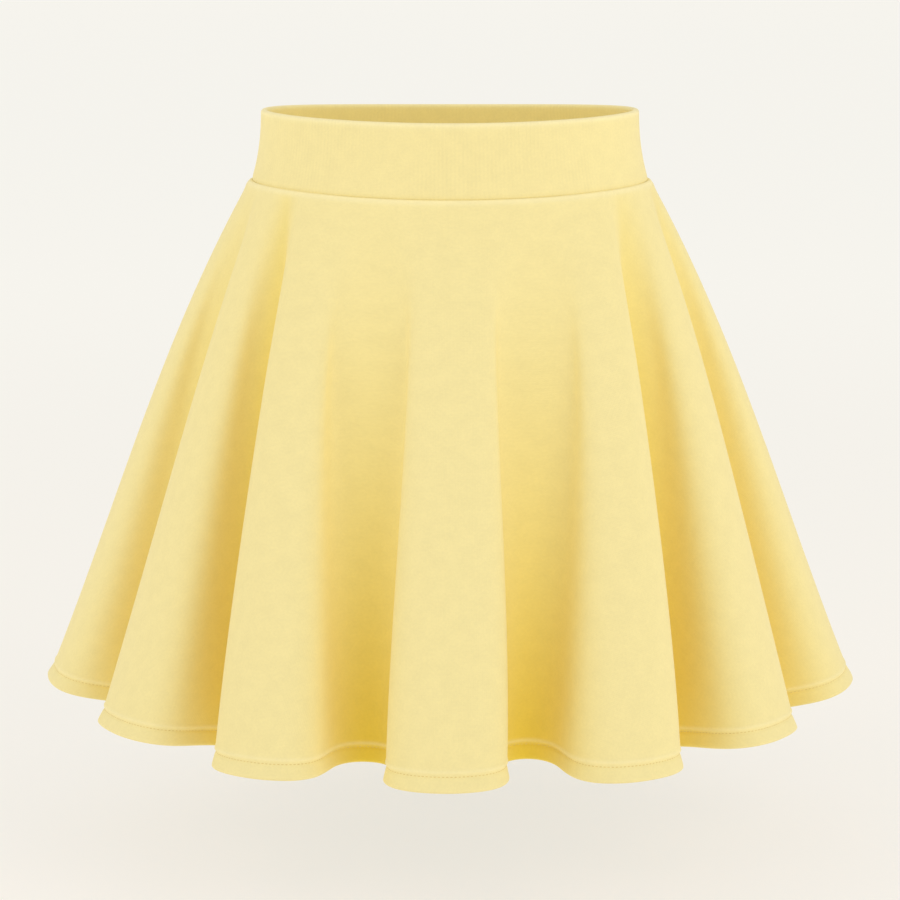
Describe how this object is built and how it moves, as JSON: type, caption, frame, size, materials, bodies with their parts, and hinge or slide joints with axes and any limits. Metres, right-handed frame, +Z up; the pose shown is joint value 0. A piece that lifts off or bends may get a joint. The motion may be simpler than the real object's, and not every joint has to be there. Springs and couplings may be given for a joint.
{
  "type": "circle skirt",
  "caption": "Short flared skirt of thick plain knit with soft deep folds and a wide folded waistband, filled out and open at the waist and hem.",
  "frame": {"origin": "on the skirt's upright axis, in the middle of the waistband's height, where the wearer's waist carries it", "axes": "+Z up out of the waist, -Y towards the front of the skirt, +X towards the viewer's right when looking at the front"},
  "size_m": [0.5281, 0.5068, 0.3859],
  "materials": {
    "skirt_knit": "matt double knit with a soft brushed bloom",
    "band_knit": "matt double knit with fine upright ribs"
  },
  "bodies": {
    "root": {"skirt_front": "skirt_knit", "skirt_back": "skirt_knit", "waistband_front": "band_knit", "waistband_back": "band_knit"}
  },
  "joints": []
}
